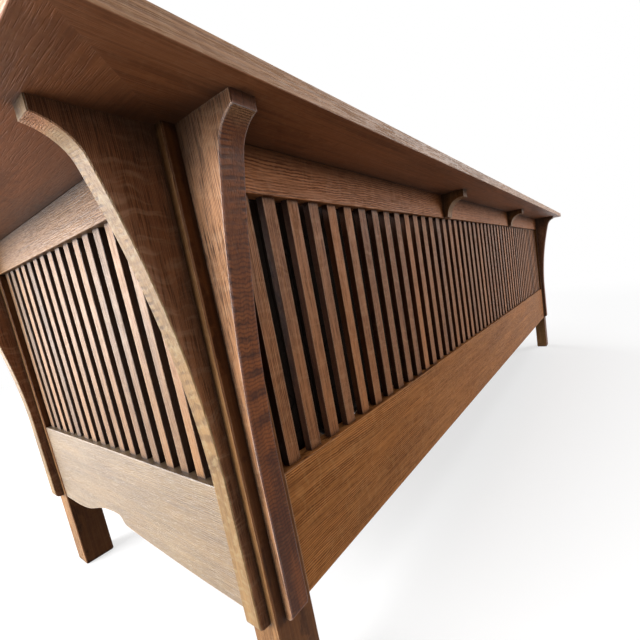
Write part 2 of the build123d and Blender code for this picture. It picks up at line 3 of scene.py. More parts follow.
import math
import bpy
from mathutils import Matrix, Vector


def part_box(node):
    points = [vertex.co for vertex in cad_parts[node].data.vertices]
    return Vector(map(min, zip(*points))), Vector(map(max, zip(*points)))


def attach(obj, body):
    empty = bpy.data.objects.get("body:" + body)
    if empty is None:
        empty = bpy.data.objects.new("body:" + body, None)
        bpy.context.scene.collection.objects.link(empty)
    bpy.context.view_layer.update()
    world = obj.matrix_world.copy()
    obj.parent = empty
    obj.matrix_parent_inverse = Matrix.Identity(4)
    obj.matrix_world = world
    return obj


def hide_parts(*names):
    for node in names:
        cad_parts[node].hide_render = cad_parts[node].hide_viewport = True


bl_info = {
    "name": "Mission Settle",
    "version": (1, 0, 0),
    "blender": (4, 5, 0),
    "location": "View3D > Sidebar > Settle",
    "description": "Dresses the frame of a mission settle in fumed oak and leather",
    "category": "Object",
}

import bpy
from mathutils import Euler, Matrix, Vector

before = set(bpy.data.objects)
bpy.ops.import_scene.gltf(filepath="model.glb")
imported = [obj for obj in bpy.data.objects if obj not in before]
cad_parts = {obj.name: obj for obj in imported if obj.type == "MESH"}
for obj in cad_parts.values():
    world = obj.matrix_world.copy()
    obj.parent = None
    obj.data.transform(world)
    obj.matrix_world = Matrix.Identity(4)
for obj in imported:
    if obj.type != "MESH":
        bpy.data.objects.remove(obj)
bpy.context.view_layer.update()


# Colours, sizes and lights that a user would change

def colour(name, description, default):
    """A linear colour setting."""
    return bpy.props.FloatVectorProperty(
        name=name, description=description, subtype="COLOR", size=3, min=0.0, max=1.0, default=default
    )


def length(name, description, default):
    """A length setting in metres."""
    return bpy.props.FloatProperty(
        name=name, description=description, unit="LENGTH", min=0.0, default=default
    )


def share(name, description, default, top=1.0):
    """A plain amount with no unit."""
    return bpy.props.FloatProperty(name=name, description=description, min=0.0, max=top, default=default)


class SettleOak(bpy.types.PropertyGroup):
    """Fumed oak that shows, and the plain oak of the seat deck."""

    early: colour("Early wood", "Paler wood between the growth rings", (0.500, 0.222, 0.070))
    late: colour("Late wood", "Darker wood of the growth rings", (0.145, 0.052, 0.013))
    pore: colour("Pores", "Dark open pores along the grain", (0.040, 0.012, 0.004))
    fleck: colour("Ray fleck", "Silvery flecks of quartersawn oak", (0.56, 0.30, 0.12))
    plain_early: colour("Plain early wood", "Paler wood of the unstained deck", (0.47, 0.30, 0.16))
    plain_late: colour("Plain late wood", "Darker wood of the unstained deck", (0.34, 0.20, 0.095))
    ring_spacing: length("Ring spacing", "Distance between growth rings", 0.0014)
    roughness: share("Roughness", "Roughness of the satin finish", 0.40)
    wear: share("Edge wear", "How pale the rubbed arrises are", 0.75)
    # Painted shade: corners, gaps and slots are darkened towards near black
    recess: share("Painted recess shade", "How dark the painted shade in corners and gaps is", 0.9)


class SettleLeather(bpy.types.PropertyGroup):
    """Dark leather of the cushions."""

    hide: colour("Hide", "Main colour of the leather", (0.016, 0.010, 0.007))
    rubbed: colour("Rubbed hide", "Colour where the leather is rubbed", (0.050, 0.028, 0.018))
    crease: colour("Crease", "Colour in the creases", (0.006, 0.004, 0.003))
    welt_radius: length("Welt radius", "Radius of the welt along the seams", 0.0038)
    cell: length("Cell size", "Size of the cells of a cushion's shell", 0.014)
    crown: length("Crown", "How far the panels of a cushion rise", 0.020)
    pressure: share("Pressure", "Pressure of the filling", 4.0, 20.0)


class SettleStage(bpy.types.PropertyGroup):
    """Floor, lamps and camera."""

    floor: colour("Floor", "Colour of the floor to the camera", (0.42, 0.42, 0.42))
    floor_glow: share("Floor glow", "How much of its own white the floor shows to the camera", 0.62)
    floor_bounce: share("Floor bounce", "Brightness of the floor to the settle", 0.17)
    room: share("Room light", "Strength of the light from all round", 0.12, 5.0)
    key_power: share("Key power", "Power of the large soft lamp at the end", 380.0, 5000.0)
    window_power: share("Window power", "Power of the soft lamp that glances along the end", 60.0, 5000.0)
    fill_power: share("Fill power", "Power of the soft lamp behind the settle", 430.0, 5000.0)
    front_power: share("Front power", "Power of the soft lamp before the settle", 120.0, 5000.0)
    top_power: share("Top power", "Power of the soft lamp overhead", 40.0, 5000.0)
    camera_place: bpy.props.FloatVectorProperty(
        name="Camera place", description="Where the photograph was taken from", subtype="TRANSLATION",
        unit="LENGTH", size=3, default=(1.1605, 0.7232, 0.5509)
    )
    camera_turn: bpy.props.FloatVectorProperty(
        name="Camera turn", description="Turn of the camera about X, Y and Z", subtype="EULER",
        size=3, default=(math.radians(81.912), math.radians(8.553), math.radians(121.110))
    )
    camera_lens: bpy.props.FloatProperty(
        name="Focal length", description="Focal length in millimetres on a 36 mm wide frame",
        min=1.0, default=19.512
    )
    camera_shift: bpy.props.FloatVectorProperty(
        name="Shift", description="Shift that gives the photograph's framing",
        size=2, default=(-0.1230, 0.0009)
    )


WHITE = (1.0, 1.0, 1.0, 1.0)
BLACK = (0.0, 0.0, 0.0, 1.0)


# Small tools for building node trees

class Wiring:
    """Adds nodes to one tree with short calls."""

    def __init__(self, tree):
        self.tree = tree
        self.column = 0

    def node(self, kind, **values):
        """A new node; values set its own properties."""
        made = self.tree.nodes.new(kind)
        self.column += 1
        made.location = (180 * (self.column % 12), -220 * (self.column // 12))
        for key, value in values.items():
            setattr(made, key, value)
        return made

    def put(self, socket, value):
        """Link a socket, or set it when the value is a constant."""
        if isinstance(value, bpy.types.NodeSocket):
            self.tree.links.new(value, socket)
        elif value is not None:
            socket.default_value = value

    def math(self, operation, first, second=None, third=None, clamp=False):
        """Arithmetic on up to three values."""
        made = self.node("ShaderNodeMath", operation=operation, use_clamp=clamp)
        self.put(made.inputs[0], first)
        self.put(made.inputs[1], second)
        self.put(made.inputs[2], third)
        return made.outputs[0]

    def blend(self, amount, first, second, kind="MIX"):
        """Mix of two colours."""
        made = self.node("ShaderNodeMix", data_type="RGBA", blend_type=kind, clamp_factor=True)
        self.put(made.inputs[0], amount)
        self.put(made.inputs[6], first)
        self.put(made.inputs[7], second)
        return made.outputs[2]

    def step(self, value, low, high, to_low=0.0, to_high=1.0):
        """Smooth step of a value between two limits."""
        made = self.node("ShaderNodeMapRange", interpolation_type="SMOOTHSTEP")
        self.put(made.inputs["Value"], value)
        made.inputs["From Min"].default_value = low
        made.inputs["From Max"].default_value = high
        made.inputs["To Min"].default_value = to_low
        made.inputs["To Max"].default_value = to_high
        return made.outputs["Result"]

    def noise(self, vector, scale=1.0, detail=2.0, rough=0.5):
        """Noise between 0 and 1."""
        made = self.node("ShaderNodeTexNoise", noise_dimensions="3D")
        self.put(made.inputs["Vector"], vector)
        made.inputs["Scale"].default_value = scale
        made.inputs["Detail"].default_value = detail
        made.inputs["Roughness"].default_value = rough
        return made.outputs["Fac"]

    def line_noise(self, value):
        """Noise along one line."""
        made = self.node("ShaderNodeTexNoise", noise_dimensions="1D")
        self.put(made.inputs["W"], value)
        made.inputs["Scale"].default_value = 1.0
        made.inputs["Detail"].default_value = 1.0
        return made.outputs["Fac"]

    def cells(self, vector, scale):
        """Distance to the edge of the nearest cell."""
        made = self.node("ShaderNodeTexVoronoi", feature="DISTANCE_TO_EDGE")
        self.put(made.inputs["Vector"], vector)
        made.inputs["Scale"].default_value = scale
        return made.outputs["Distance"]

    def vector(self, x, y, z):
        """A vector from three values."""
        made = self.node("ShaderNodeCombineXYZ")
        for socket, value in zip(made.inputs, (x, y, z)):
            self.put(socket, value)
        return made.outputs[0]

    def split(self, vector):
        """The three values of a vector."""
        made = self.node("ShaderNodeSeparateXYZ")
        self.put(made.inputs[0], vector)
        return made.outputs

    def shown(self):
        """1 for the rays that see the stage, 0 for those that bring its light to the settle."""
        path = self.node("ShaderNodeLightPath")
        seen = self.math("MAXIMUM", path.outputs["Is Camera Ray"], path.outputs["Is Glossy Ray"])
        return self.math("MAXIMUM", seen, path.outputs["Is Transmission Ray"])

    def group(self, tree, **values):
        """A node group placed with its own values; spaces in socket names are written as _."""
        made = self.node("ShaderNodeGroup", node_tree=tree)
        for key, value in values.items():
            self.put(made.inputs[key.replace("_", " ")], value)
        return made.outputs


def new_group(name, inputs, outputs):
    """An empty shader node group with named sockets, and its wiring."""
    tree = bpy.data.node_groups.new(name, "ShaderNodeTree")
    for label, kind, default in inputs:
        socket = tree.interface.new_socket(label, in_out="INPUT", socket_type="NodeSocket" + kind)
        if default is not None:
            socket.default_value = default
    for label, kind in outputs:
        tree.interface.new_socket(label, in_out="OUTPUT", socket_type="NodeSocket" + kind)
    wiring = Wiring(tree)
    return tree, wiring, wiring.node("NodeGroupInput").outputs, wiring.node("NodeGroupOutput").inputs


def edge_wear_and_highlight_group():
    """Mask of the arrises, for rubbed wear and, on the corbels, a painted highlight."""
    name = "Edge wear"
    if name in bpy.data.node_groups:
        return bpy.data.node_groups[name]
    tree, w, given, out = new_group(
        name,
        [("Reach", "Float", 0.004), ("Patchiness", "Float", 0.6)],
        [("Mask", "Float")],
    )
    rounded = w.node("ShaderNodeBevel", samples=4)
    w.put(rounded.inputs["Radius"], given["Reach"])
    plain = w.node("ShaderNodeNewGeometry")
    dot = w.node("ShaderNodeVectorMath", operation="DOT_PRODUCT")
    w.put(dot.inputs[0], rounded.outputs["Normal"])
    w.put(dot.inputs[1], plain.outputs["Normal"])
    bend = w.math("SUBTRACT", 1.0, dot.outputs["Value"])
    edge = w.step(bend, 0.01, 0.22)
    place = w.node("ShaderNodeTexCoord").outputs["Object"]
    patches = w.step(w.noise(place, 22.0, 3.0, 0.6), 0.30, 0.62)
    kept = w.math("MULTIPLY", given["Patchiness"], w.math("SUBTRACT", 1.0, patches))
    w.put(out["Mask"], w.math("MULTIPLY", edge, w.math("SUBTRACT", 1.0, kept), clamp=True))
    return tree


def recess_group():
    """Mask of the corners, gaps and slots that are darkened as painted shade."""
    name = "Polish in recesses"
    if name in bpy.data.node_groups:
        return bpy.data.node_groups[name]
    tree, w, given, out = new_group(name, [("Reach", "Float", 0.03)], [("Mask", "Float")])
    open_air = w.node("ShaderNodeAmbientOcclusion", samples=6)
    w.put(open_air.inputs["Distance"], given["Reach"])
    w.put(out["Mask"], w.step(open_air.outputs["AO"], 0.45, 0.97, 1.0, 0.0))
    return tree


# Sizes of the oak's features in millimetres: along the grain, across the rings and along the rays
GRAIN = {
    "drift": (360.0, 80.0, 80.0),
    "ripple": (24.0, 16.0, 11.0),
    "wobble": (6.0, 5.0, 6.0),
    "strength": (170.0, 16.0, 16.0),
    "streak": (110.0, 2.6, 2.6),
    "pore": (24.0, 1.1, 1.1),
    "sway": (45.0, 30.0, 45.0),
    "cloud": (240.0, 45.0, 45.0),
    "patch": (180.0, 70.0, 70.0),
    "curl": (26.0, 7.0, 7.0),
    "polish": (60.0, 12.0, 12.0),
}
FLECK_SIZE = (6.5, 32.0, 9.0)
BAND_WIDTH = 13.0
CURL_SPACING = 4.6
# How far, in millimetres, the rings drift, ripple and wobble, and the rays and the curl sway
DRIFT, RIPPLE, WOBBLE = 14.0, 2.2, 1.1
RAY_SWAY, CURL_SWAY = 30.0, 8.0
# Millimetres between the places in the tree from which two boards were cut
BOARD_ALONG, BOARD_RING, BOARD_RAY = 137.0, 31.0, 57.0
STOCK_SPREAD = 7.3
MILLIMETRES = 1000.0

COOL_CAST = (0.90, 0.93, 1.12, 1.0)
WARM_CAST = (1.12, 0.98, 0.84, 1.0)
CURL_SHADE = (0.45, 0.40, 0.38, 1.0)
# Near-black colour of the painted shade in corners and gaps
PAINTED_SHADE = (0.010, 0.004, 0.002, 1.0)


def oak_group():
    """Solid oak: rings, pores and ray fleck that run through the whole board."""
    name = "Solid oak"
    if name in bpy.data.node_groups:
        return bpy.data.node_groups[name]
    tree, w, given, out = new_group(
        name,
        [
            ("Along", "Float", 0.0),
            ("Ring", "Float", 0.0),
            ("Ray", "Float", 0.0),
            ("Facing", "Float", 0.0),
            ("Seed", "Float", 0.0),
            ("Stock", "Float", 0.5),
            ("Early", "Color", (0.25, 0.11, 0.05, 1.0)),
            ("Late", "Color", (0.14, 0.05, 0.02, 1.0)),
            ("Pore", "Color", (0.05, 0.02, 0.01, 1.0)),
            ("Fleck", "Color", (0.33, 0.17, 0.09, 1.0)),
            ("Flat sawn", "Color", (1.0, 1.0, 1.0, 1.0)),
            ("Worn", "Color", (0.72, 0.58, 0.44, 1.0)),
            ("Fleck amount", "Float", 0.5),
            ("Pore amount", "Float", 0.8),
            ("Curl", "Float", 0.0),
            ("Ring spacing", "Float", 0.0012),
            ("Ring contrast", "Float", 0.5),
            ("Ripple", "Float", 1.0),
            ("Wear", "Float", 0.5),
            ("Recess", "Float", 0.6),
            ("Recess reach", "Float", 0.028),
            ("Gloss", "Float", 0.4),
        ],
        [("Colour", "Color"), ("Roughness", "Float"), ("Height", "Float")],
    )
    board = w.math("ADD", given["Seed"], w.math("MULTIPLY", given["Stock"], STOCK_SPREAD))
    along, ring, ray = (
        w.math("MULTIPLY_ADD", given[axis], MILLIMETRES, w.math("MULTIPLY", board, apart))
        for axis, apart in (("Along", BOARD_ALONG), ("Ring", BOARD_RING), ("Ray", BOARD_RAY))
    )

    def fibre(feature):
        """Coordinates divided by the size of a feature."""
        run, across, through = GRAIN[feature]
        return w.vector(
            w.math("DIVIDE", along, run), w.math("DIVIDE", ring, across), w.math("DIVIDE", ray, through)
        )

    def swing(feature, reach, detail=2.0):
        """Noise from minus to plus half the reach."""
        return w.math("MULTIPLY", w.math("SUBTRACT", w.noise(fibre(feature), detail=detail), 0.5), reach)

    # Rings, bent by the way the tree grew
    drift = w.math("MULTIPLY_ADD", w.noise(fibre("drift"), detail=0.5), DRIFT, -DRIFT / 2)
    ripple = w.math("ADD", swing("ripple", RIPPLE, 0.6), swing("wobble", WOBBLE))
    bent = w.math("MULTIPLY_ADD", w.math("ADD", ripple, drift), given["Ripple"], ring)
    spacing = w.math("MULTIPLY", given["Ring spacing"], MILLIMETRES)
    turn = w.math("MULTIPLY", w.math("DIVIDE", bent, spacing), math.tau)
    bands = w.step(w.math("SINE", turn), -0.90, 0.15)
    strength = w.step(w.noise(fibre("strength"), detail=1.0), 0.36, 0.62, 0.20, 1.15)
    bands = w.math("MULTIPLY_ADD", w.math("SUBTRACT", bands, 0.7), strength, 0.7)
    broad = w.step(w.line_noise(w.math("DIVIDE", bent, BAND_WIDTH)), 0.30, 0.70)
    streak = w.step(w.noise(fibre("streak")), 0.30, 0.70)

    # Pores lie along the grain, crowd into the early wood and are fewer on the flat-sawn faces
    flat = w.step(w.math("ABSOLUTE", given["Facing"]), 0.35, 0.75)
    pores = w.step(w.noise(fibre("pore"), detail=1.5), 0.50, 0.66)
    pores = w.math("MULTIPLY", pores, w.math("MULTIPLY_ADD", bands, 0.5, 0.5))
    pores = w.math("MULTIPLY", pores, w.math("MULTIPLY_ADD", flat, -0.7, 1.0))

    # Ray fleck crosses the grain on quartersawn faces and is short and thin on the others
    sway = w.math("MULTIPLY_ADD", w.noise(fibre("sway"), detail=1.0), RAY_SWAY, along)
    ray_place = w.vector(*(
        w.math("DIVIDE", place, size) for place, size in zip((sway, ring, ray), FLECK_SIZE)
    ))
    fleck = w.step(w.noise(ray_place, detail=2.0, rough=0.55), 0.46, 0.72)
    fleck = w.math("MULTIPLY", fleck, given["Fleck amount"])

    # Tone wanders slowly over a board, and from board to board
    cloud = w.noise(fibre("cloud"), detail=3.0, rough=0.6)
    tone = w.math("MULTIPLY_ADD", w.math("SUBTRACT", given["Stock"], 0.5), 0.5, cloud)
    shade = w.math("MULTIPLY", w.math("SUBTRACT", bands, 0.6), given["Ring contrast"])
    shade = w.math("ADD", w.math("MULTIPLY_ADD", broad, 0.15, 0.30), shade)
    shade = w.math("MULTIPLY_ADD", streak, 0.35, shade)
    shade = w.math("ADD", shade, w.math("MULTIPLY_ADD", tone, 1.0, -0.52), clamp=True)
    wood = w.blend(shade, given["Late"], given["Early"])
    patch = w.step(w.noise(fibre("patch"), detail=1.0), 0.30, 0.70)
    hue = w.math("MULTIPLY_ADD", given["Stock"], 0.65, w.math("MULTIPLY_ADD", patch, 0.25, 0.05))
    wood = w.blend(1.0, wood, w.blend(hue, COOL_CAST, WARM_CAST), "MULTIPLY")
    wood = w.blend(w.math("MULTIPLY", pores, given["Pore amount"]), wood, given["Pore"])
    wood = w.blend(w.math("MULTIPLY", fleck, 0.55), wood, given["Fleck"])

    # On the flat-sawn faces the colour is multiplied darker as painted shade, set board by board for the
    # lamps, and curl crosses them as fine wavy lines
    wood = w.blend(flat, wood, w.blend(1.0, wood, given["Flat sawn"], "MULTIPLY"))
    wave = w.math("MULTIPLY_ADD", w.noise(fibre("curl"), detail=1.0), CURL_SWAY, along)
    curl = w.step(w.math("SINE", w.math("MULTIPLY", wave, math.tau / CURL_SPACING)), -0.2, 0.9)
    curl = w.math("MULTIPLY", w.math("MULTIPLY", curl, flat), w.math("MULTIPLY", patch, given["Curl"]))
    wood = w.blend(curl, wood, w.blend(1.0, wood, CURL_SHADE, "MULTIPLY"))

    # Painted shade in the corners and gaps, and pale arrises: rubbed wear, and on the corbels a near-white
    # painted highlight
    dark = w.group(recess_group(), Reach=given["Recess reach"])["Mask"]
    shaded_wood = w.blend(0.92, wood, PAINTED_SHADE)
    wood = w.blend(w.math("MULTIPLY", dark, given["Recess"]), wood, shaded_wood)
    pale_edge = w.group(edge_wear_and_highlight_group(), Reach=0.0034, Patchiness=0.55)["Mask"]
    pale_edge = w.math("MULTIPLY", pale_edge, given["Wear"])
    pale_edge = w.math("MULTIPLY", pale_edge, w.step(dark, 0.30, 0.75, 1.0, 0.0))
    pale_edge = w.math("MULTIPLY", pale_edge, w.math("MULTIPLY_ADD", flat, -0.8, 1.0))
    w.put(out["Colour"], w.blend(w.math("MULTIPLY", pale_edge, 0.9), wood, given["Worn"]))

    rough = w.math("MULTIPLY_ADD", pores, 0.22, given["Gloss"])
    rough = w.math("MULTIPLY_ADD", fleck, -0.08, rough)
    rough = w.math("MULTIPLY_ADD", w.noise(fibre("polish")), 0.12, rough)
    w.put(out["Roughness"], w.math("MULTIPLY_ADD", pale_edge, -0.10, rough, clamp=True))
    height = w.math("MULTIPLY_ADD", pores, -0.8, w.math("MULTIPLY", bands, 0.25))
    w.put(out["Height"], w.math("MULTIPLY_ADD", fleck, 0.18, height))
    return tree


def stock_group():
    """One random value for each piece of a row of like pieces."""
    name = "Pieces in a row"
    if name in bpy.data.node_groups:
        return bpy.data.node_groups[name]
    tree, w, given, out = new_group(
        name,
        [("Place", "Float", 0.0), ("Start", "Float", 0.0), ("Pitch", "Float", 0.038)],
        [("Stock", "Float")],
    )
    pitches = w.math("DIVIDE", w.math("SUBTRACT", given["Place"], given["Start"]), given["Pitch"])
    random = w.node("ShaderNodeTexWhiteNoise", noise_dimensions="1D")
    w.put(random.inputs["W"], w.math("FLOOR", pitches))
    w.put(out["Stock"], random.outputs["Value"])
    return tree


# Cells to the metre in the leather's pebbles and creases, and how far the creases wander
PEBBLES = 520.0
CREASES = 26.0
CREASE_WARP = 14.0
CREASE_REACH = (0.05, 0.05, 0.05)


def leather_group():
    """Waxed leather: pebbled grain, creases and rubbed patches."""
    name = "Waxed leather"
    if name in bpy.data.node_groups:
        return bpy.data.node_groups[name]
    tree, w, given, out = new_group(
        name,
        [
            ("Place", "Vector", (0.0, 0.0, 0.0)),
            ("Hide", "Color", (0.03, 0.02, 0.017, 1.0)),
            ("Rubbed", "Color", (0.08, 0.05, 0.04, 1.0)),
            ("Crease", "Color", (0.012, 0.009, 0.008, 1.0)),
        ],
        [("Colour", "Color"), ("Roughness", "Float"), ("Height", "Float")],
    )
    place = given["Place"]
    grain = w.step(w.cells(place, PEBBLES), 0.0, 0.22)
    warp = w.node("ShaderNodeTexNoise")
    w.put(warp.inputs["Vector"], place)
    warp.inputs["Scale"].default_value = CREASE_WARP
    bent = w.node("ShaderNodeVectorMath", operation="MULTIPLY_ADD")
    w.put(bent.inputs[0], warp.outputs["Color"])
    bent.inputs[1].default_value = CREASE_REACH
    w.put(bent.inputs[2], place)
    crease = w.step(w.cells(bent.outputs[0], CREASES), 0.0, 0.07, 1.0, 0.0)
    crease = w.math("MULTIPLY", crease, w.step(w.noise(place, 7.0, 2.0), 0.45, 0.7))
    rubbed = w.step(w.noise(place, 5.0, 4.0, 0.6), 0.48, 0.72)
    hide = w.blend(w.math("MULTIPLY", rubbed, 0.6), given["Hide"], given["Rubbed"])
    hide = w.blend(w.math("MULTIPLY", crease, 0.8), hide, given["Crease"])
    pale_edge = w.group(edge_wear_and_highlight_group(), Reach=0.006, Patchiness=0.5)["Mask"]
    w.put(out["Colour"], w.blend(w.math("MULTIPLY", pale_edge, 0.5), hide, given["Rubbed"]))
    rough = w.math("MULTIPLY_ADD", rubbed, -0.10, 0.56)
    w.put(out["Roughness"], w.math("MULTIPLY_ADD", crease, 0.15, rough))
    height = w.math("MULTIPLY_ADD", crease, -0.9, w.math("MULTIPLY", grain, 0.25))
    w.put(out["Height"], height)
    return tree


def principled(name):
    """A new material, its wiring and its main shader."""
    material = bpy.data.materials.new(name)
    material.use_nodes = True
    material.node_tree.nodes.clear()
    w = Wiring(material.node_tree)
    shader = w.node("ShaderNodeBsdfPrincipled")
    w.put(w.node("ShaderNodeOutputMaterial").inputs["Surface"], shader.outputs[0])
    return material, w, shader


def finish_surface(w, shader, outputs, depth, strength):
    """Connect a finish's colour, roughness and height to a shader."""
    w.put(shader.inputs["Base Color"], outputs["Colour"])
    w.put(shader.inputs["Roughness"], outputs["Roughness"])
    bump = w.node("ShaderNodeBump")
    bump.inputs["Strength"].default_value = strength
    bump.inputs["Distance"].default_value = depth
    w.put(bump.inputs["Height"], outputs["Height"])
    w.put(shader.inputs["Normal"], bump.outputs["Normal"])


def rgba(values, tint=(1.0, 1.0, 1.0)):
    """A colour with alpha, multiplied by a tint."""
    return tuple(value * part for value, part in zip(values, tint)) + (1.0,)


AXES = "XYZ"


def oak(
    name, along, ring, seed, tint=(1.0, 1.0, 1.0), fleck=0.5, ripple=1.0,
    row=None, plain=False, wear=1.0, sheen=0.14, rings=1.0, pores=0.8, slot_depth=0.028,
    flat_face_shade=(1.0, 1.0, 1.0), pale_edge=(0.61, 0.42, 0.28), curl=0.0, contrast=0.5,
):
    """Oak whose grain runs along one axis and whose rings lie square to another."""
    settings = bpy.context.scene.settle_oak
    material, w, shader = principled(name)
    where = w.node("ShaderNodeTexCoord")
    place = w.split(where.outputs["Object"])
    facing = w.split(where.outputs["Normal"])
    left = ({"X", "Y", "Z"} - {along, ring}).pop()
    values = {
        "Along": place[AXES.index(along)],
        "Ring": place[AXES.index(ring)],
        "Ray": place[AXES.index(left)],
        "Facing": facing[AXES.index(ring)],
        "Seed": seed,
        "Early": rgba(settings.plain_early if plain else settings.early, tint),
        "Late": rgba(settings.plain_late if plain else settings.late, tint),
        "Pore": rgba(settings.late if plain else settings.pore, tint),
        "Fleck": rgba(settings.plain_early if plain else settings.fleck, tint),
        "Flat_sawn": rgba(flat_face_shade),
        "Worn": rgba(pale_edge),
        "Fleck_amount": fleck,
        "Pore_amount": pores,
        "Curl": curl,
        "Ring_spacing": settings.ring_spacing * rings,
        "Ring_contrast": contrast,
        "Ripple": ripple,
        "Wear": 0.0 if plain else settings.wear * wear,
        "Recess": 0.0 if plain else settings.recess,
        "Recess_reach": slot_depth,
        "Gloss": settings.roughness + (0.2 if plain else 0.0),
    }
    if row:
        axis, start, pitch = row
        values["Stock"] = w.group(
            stock_group(), Place=place[AXES.index(axis)], Start=start, Pitch=pitch
        )["Stock"]
    finish_surface(w, shader, w.group(oak_group(), **values), depth=0.0007, strength=0.7)
    shader.inputs["Specular IOR Level"].default_value = sheen
    return material


def dress(node, material):
    """Give a frame piece its material."""
    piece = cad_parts[node]
    for slot in piece.material_slots:
        slot.material = material


def node_box(node):
    """Lowest and highest corner of a frame piece."""
    low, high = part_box(node)
    return Vector(low), Vector(high)


# Tints of the boards: partly how the stain took on each, and partly painted light set for these lamps: the
# corbels' pale, blue-heavy tint paints the sheen of their lit sides, and the end pieces, which the key lamp
# lights strongly, are darker
CAP_TINT = (1.02, 1.20, 1.66)
SPINDLE_TINT = (1.0, 0.97, 1.16)
RAIL_TINT = (1.06, 1.0, 0.95)
POST_TINT = (0.68, 0.80, 0.92)
# Painted sheen: pale and blue-heavy for the lit sides of the corbels
CORBEL_TINT = (1.22, 1.45, 2.15)
# Painted shade: darker for the end pieces that the key lamp lights strongly
END_TINT = (0.57, 0.65, 0.68)
ARCH_TINT = (0.47, 0.67, 0.80)
STRIP_TINT = (1.15, 1.17, 1.55)
TOP_TINT = (1.18, 1.12, 1.40)
FRONT_TINT = (0.74, 0.84, 1.05)
# How the boards of the cap, the corbels beside the ends and the spindles take their finish, with painted
# shade on their flat-sawn faces and in their corners
CAP_FINISH = {
    "wear": 0.3, "sheen": 0.4, "rings": 3.5, "pores": 0.2, "slot_depth": 0.08, "contrast": 0.3,
    "flat_face_shade": (0.82, 0.62, 0.53),
}
STRIP_FINISH = {"sheen": 0.22, "pores": 0.6, "slot_depth": 0.06, "flat_face_shade": (0.50, 0.67, 0.60)}
# The corbels' near-white, strong pale edges are a painted highlight along their arrises
CORBEL_FINISH = {
    "sheen": 0.22, "rings": 1.6, "pores": 0.9, "slot_depth": 0.08, "contrast": 0.8,
    "flat_face_shade": (0.42, 0.25, 0.14), "wear": 1.35, "pale_edge": (0.95, 0.92, 0.94), "curl": 0.8,
}
POST_FINISH = {"sheen": 0.12, "pores": 0.5, "slot_depth": 0.010, "flat_face_shade": (0.54, 0.40, 0.33)}
# The spindles' flat-sawn faces are their sides: their painted shade darkens the gaps between the spindles
SPINDLE_FINISH = {"rings": 1.6, "slot_depth": 0.05, "flat_face_shade": (0.35, 0.30, 0.30)}


class SETTLE_OT_oak_frame(bpy.types.Operator):
    """Give the posts, rails, corbels and cap their fumed oak"""

    bl_idname = "settle.oak_frame"
    bl_label = "Oak frame"

    def execute(self, context):
        seed = 0.0
        for end in ("front", "back"):
            for side in ("left", "right"):
                corner = end + "_" + side
                seed += 1.7
                dress("post_" + corner, oak(
                    "Post " + corner, "Z", "Y", seed, POST_TINT, fleck=0.35, ripple=0.6, **POST_FINISH
                ))
                dress("corbel_" + corner + "_on_end", oak(
                    "End corbel " + corner, "Z", "X", seed + 0.4, STRIP_TINT,
                    fleck=0.9, ripple=0.45, **STRIP_FINISH
                ))
                dress("corbel_" + corner + "_on_" + end, oak(
                    "Corbel " + corner, "Z", "Y", seed + 0.9, CORBEL_TINT,
                    fleck=0.40, ripple=0.30, **CORBEL_FINISH
                ))
        dress("back_top_rail", oak(
            "Back top rail", "X", "Z", 21.0, TOP_TINT, fleck=0.35, ripple=1.8,
            sheen=0.10, rings=2.7, pores=0.5, contrast=0.9,
        ))
        dress("back_bottom_rail", oak(
            "Back bottom rail", "X", "Z", 23.5, RAIL_TINT, fleck=0.30, ripple=1.2,
            sheen=0.05, rings=2.3, pores=0.4, contrast=1.0,
        ))
        dress("front_seat_rail", oak(
            "Front seat rail", "X", "Z", 27.0, FRONT_TINT, fleck=0.30, ripple=1.2,
            rings=2.3, pores=0.4, contrast=0.9,
        ))
        dress("cap_back", oak("Back cap", "X", "Z", 31.0, CAP_TINT, fleck=0.3, ripple=1.2, **CAP_FINISH))
        for number, side in enumerate(("left", "right")):
            dress("cap_arm_" + side, oak(
                "Arm cap " + side, "Y", "Z", 35.0 + number, CAP_TINT, fleck=0.3, ripple=1.2, **CAP_FINISH
            ))
            dress("end_top_rail_" + side, oak(
                "End top rail " + side, "Y", "Z", 41.0 + number, END_TINT, fleck=0.4, ripple=0.9,
                sheen=0.5, rings=2.3, pores=0.4,
            ))
            dress("end_bottom_rail_" + side, oak(
                "End bottom rail " + side, "Y", "Z", 44.0 + number, ARCH_TINT, fleck=0.3, ripple=0.7,
                sheen=1.0, rings=2.3, pores=0.15,
            ))
            dress("back_bracket_" + side, oak(
                "Bracket " + side, "Z", "Y", 47.0 + number, POST_TINT, fleck=0.4, ripple=1.0
            ))
        return {"FINISHED"}


# Spindles and slats: their width and the distance from one to the next
SPINDLE_WIDTH = 0.01905
BACK_PITCH = 0.0381
END_PITCH = 0.0388
SLAT_START = -1.0
SLAT_PITCH = 0.112


def row_start(low, pitch):
    """Where a row's first pitch begins, half a gap before its first spindle."""
    return low - 0.5 * (pitch - SPINDLE_WIDTH)


class SETTLE_OT_spindles(bpy.types.Operator):
    """Give the spindles oak that differs from spindle to spindle"""

    bl_idname = "settle.spindles"
    bl_label = "Spindles"

    def execute(self, context):
        low = node_box("back_spindles")[0]
        row = ("X", row_start(low.x, BACK_PITCH), BACK_PITCH)
        dress("back_spindles", oak(
            "Back spindles", "Z", "X", 51.0, SPINDLE_TINT, fleck=0.35, ripple=0.8,
            row=row, pores=0.5, **SPINDLE_FINISH
        ))
        for number, side in enumerate(("left", "right")):
            low = node_box("end_spindles_" + side)[0]
            row = ("Y", row_start(low.y, END_PITCH), END_PITCH)
            dress("end_spindles_" + side, oak(
                "End spindles " + side, "Z", "Y", 55.0 + number, END_TINT, fleck=0.35, ripple=0.8,
                row=row, sheen=0.45, pores=0.4, **SPINDLE_FINISH
            ))
        return {"FINISHED"}


STEEL_DARK = (0.42, 0.41, 0.39, 1.0)
STEEL_PALE = (0.58, 0.57, 0.54, 1.0)


